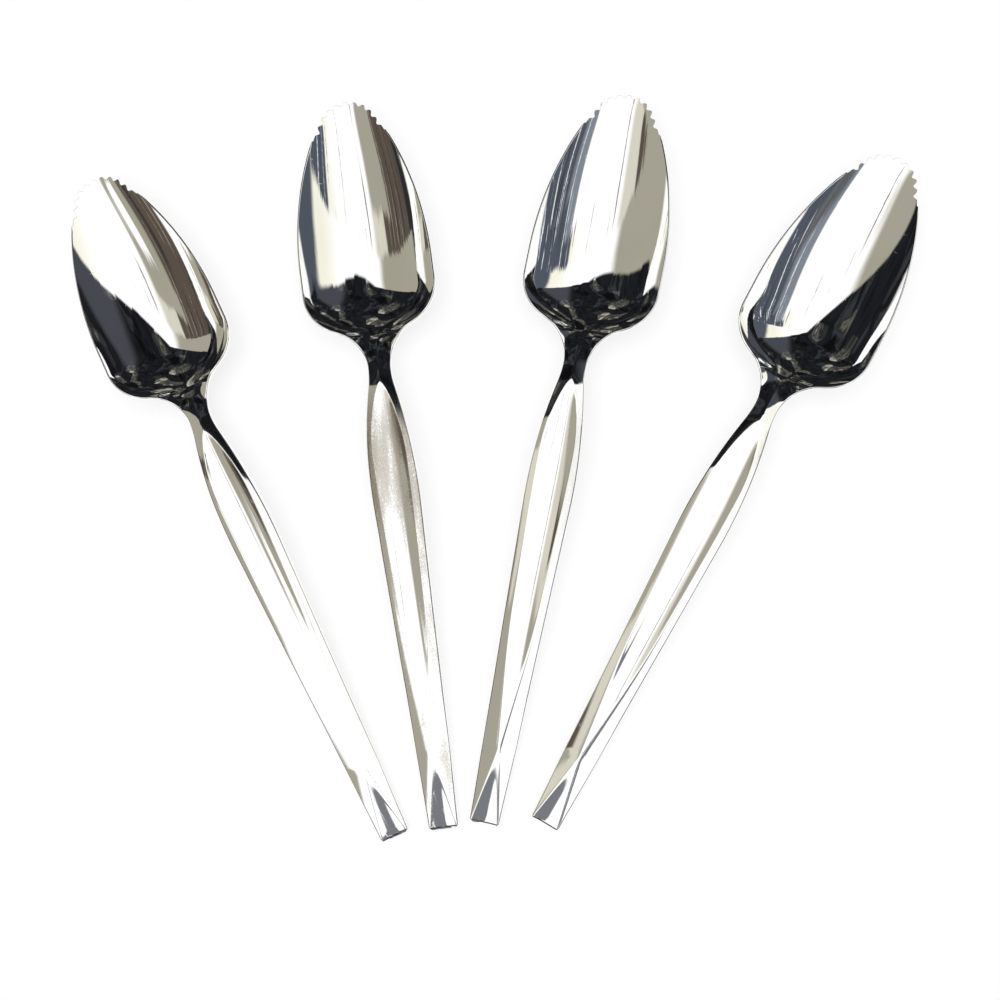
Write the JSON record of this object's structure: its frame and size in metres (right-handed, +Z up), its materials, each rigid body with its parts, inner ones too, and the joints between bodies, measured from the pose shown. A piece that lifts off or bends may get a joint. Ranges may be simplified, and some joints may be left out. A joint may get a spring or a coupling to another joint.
{
  "type": "grapefruit spoon set",
  "caption": "One-piece polished steel grapefruit spoons laid in a fan, each with a tapering bowl, a saw-toothed tip for cutting citrus segments and a slim crested handle.",
  "frame": {"origin": "middle of the fan's footprint, on the table that the spoons lie on", "axes": "+X across the fan to the right as seen from the handle ends, +Y from the handle ends towards the bowl tips, +Z up out of the bowls"},
  "size_m": [0.1748, 0.1534, 0.009],
  "materials": {
    "steel": "polished"
  },
  "bodies": {
    "root": {"far_left_spoon": "steel", "left_spoon": "steel", "right_spoon": "steel", "far_right_spoon": "steel"}
  },
  "joints": []
}
